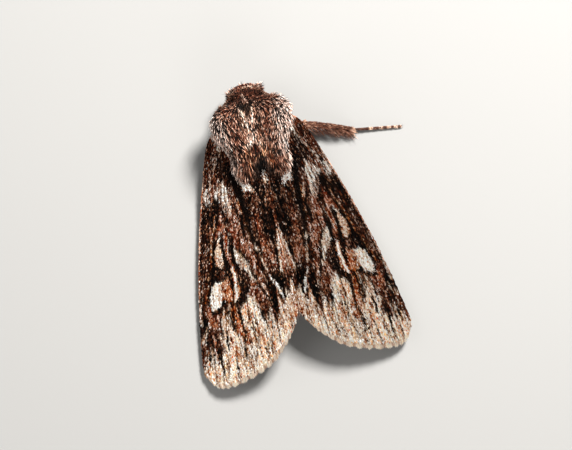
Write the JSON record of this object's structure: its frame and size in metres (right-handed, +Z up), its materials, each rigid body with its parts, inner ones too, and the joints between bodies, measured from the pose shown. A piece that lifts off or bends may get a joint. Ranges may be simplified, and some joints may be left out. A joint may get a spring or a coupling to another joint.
{
  "type": "resting noctuid moth model",
  "caption": "Still life-size model of a furry night moth at rest, forewings folded like a low roof over body, one middle leg stretched out sideways.",
  "frame": {"origin": "on the floor under the belly, on the midline, where the abdomen's flat underside rests", "axes": "+Y towards the head, +X to the moth's right, +Z up from the floor"},
  "size_m": [0.0252, 0.0293, 0.0078],
  "materials": {
    "head_hair": "dark brown hair-like scales with reddish tips",
    "thorax_hair": "long pinkish-grey hair-like scales with dark roots",
    "crest_hair": "rufous brown tuft with a dark top",
    "abdomen_hair": "grey-brown hair-like scales",
    "forewing_scales": "overlapping scales in brown, black, tan and cream",
    "hindwing_scales": "pale grey-brown scales, silky",
    "eye": "dark, glossy, finely faceted",
    "feeler": "brown shaft with short comb teeth",
    "leg_scales": "brown hair and scales, ringed pale on the feet"
  },
  "bodies": {
    "root": {"head": "head_hair", "collar": "head_hair", "thorax": "thorax_hair", "crest": "crest_hair", "abdomen": "abdomen_hair", "tail_tuft": "abdomen_hair", "tegula_left": "thorax_hair", "tegula_right": "thorax_hair", "eye_left": "eye", "eye_right": "eye", "palp_left": "head_hair", "palp_right": "head_hair", "antenna_left": "feeler", "antenna_right": "feeler", "forewing_left": "forewing_scales", "forewing_right": "forewing_scales", "hindwing_left": "hindwing_scales", "hindwing_right": "hindwing_scales", "foreleg_left_femur": "leg_scales", "foreleg_left_tibia": "leg_scales", "foreleg_left_tarsus": "leg_scales", "foreleg_right_femur": "leg_scales", "foreleg_right_tibia": "leg_scales", "foreleg_right_tarsus": "leg_scales", "midleg_left_femur": "leg_scales", "midleg_left_tibia": "leg_scales", "midleg_left_tarsus": "leg_scales", "midleg_right_femur": "leg_scales", "midleg_right_tibia": "leg_scales", "midleg_right_tarsus": "leg_scales", "hindleg_left_femur": "leg_scales", "hindleg_left_tibia": "leg_scales", "hindleg_left_tarsus": "leg_scales", "hindleg_right_femur": "leg_scales", "hindleg_right_tibia": "leg_scales", "hindleg_right_tarsus": "leg_scales"}
  },
  "joints": []
}
